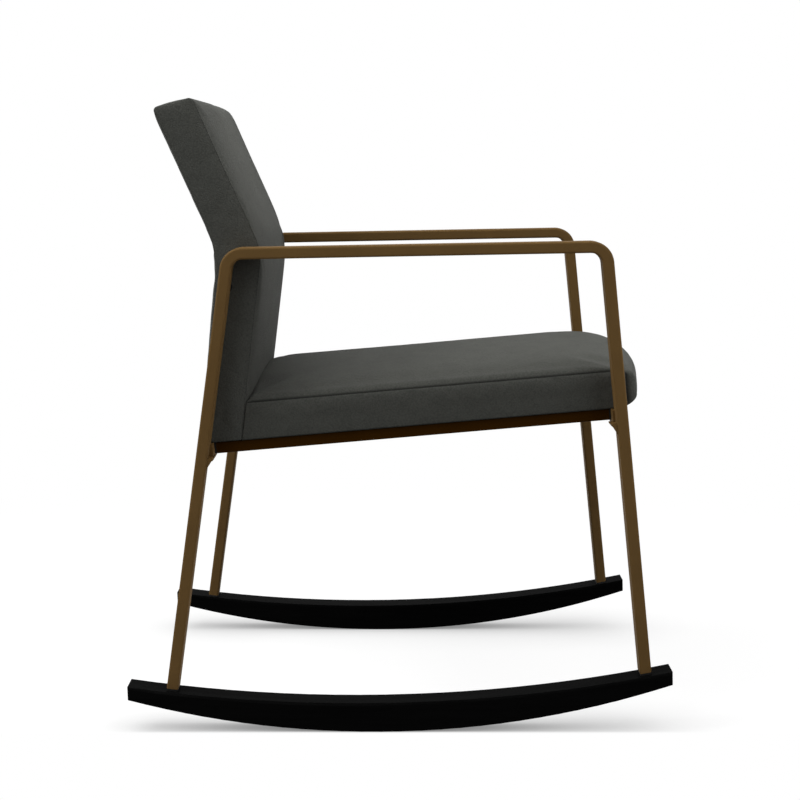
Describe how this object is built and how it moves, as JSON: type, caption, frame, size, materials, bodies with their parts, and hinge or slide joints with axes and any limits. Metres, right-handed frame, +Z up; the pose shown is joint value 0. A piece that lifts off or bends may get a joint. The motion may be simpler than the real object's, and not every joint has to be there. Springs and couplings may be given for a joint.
{
  "type": "rocking chair",
  "caption": "Lounge rocking chair with bent tube side frames on curved runners, and an upholstered seat and bent back hung between them.",
  "frame": {"origin": "on the floor under the middle of the chair's overall length and width", "axes": "+Z up, the sitter faces -Y, +X is the sitter's left"},
  "size_m": [0.6, 0.7502, 0.8707],
  "materials": {
    "bronze_paint": "satin bronze powder coat",
    "runner_black": "black satin lacquer on laminated wood",
    "black_plastic": "matt black moulding",
    "upholstery": "charcoal woven upholstery",
    "dust_cloth": "black non-woven cloth",
    "foam": "open cell cushion foam",
    "plywood": "bare birch plywood",
    "zinc_steel": "zinc plated"
  },
  "bodies": {
    "root": {"side_frame_right": "bronze_paint", "side_frame_left": "bronze_paint", "runner_right": "runner_black", "runner_left": "runner_black", "leg_foot_pads": "black_plastic", "leg_threaded_blocks": "zinc_steel", "runner_bolts": "zinc_steel", "runner_bolt_washers": "zinc_steel", "seat_bracket_front_right": "bronze_paint", "seat_bracket_front_left": "bronze_paint", "seat_bracket_rear_right": "bronze_paint", "seat_bracket_rear_left": "bronze_paint", "seat_rail_right": "bronze_paint", "seat_rail_left": "bronze_paint", "seat_cross_rail_front": "bronze_paint", "seat_cross_rail_rear": "bronze_paint", "rail_end_caps": "black_plastic", "rail_threaded_blocks": "zinc_steel", "seat_frame_bolts": "zinc_steel", "seat_deck": "plywood", "deck_tee_nuts": "zinc_steel", "deck_screws": "zinc_steel", "seat_foam": "foam", "seat_cover": "upholstery", "seat_dust_cover": "dust_cloth", "back_panel": "plywood", "back_foam": "foam", "back_cover": "upholstery", "back_side_plates": "zinc_steel", "back_spacers": "black_plastic", "back_studs": "zinc_steel", "back_bracket_right": "bronze_paint", "back_bracket_left": "bronze_paint", "back_bracket_screws": "zinc_steel", "back_bolts": "zinc_steel", "back_tee_nuts": "zinc_steel"}
  },
  "joints": []
}
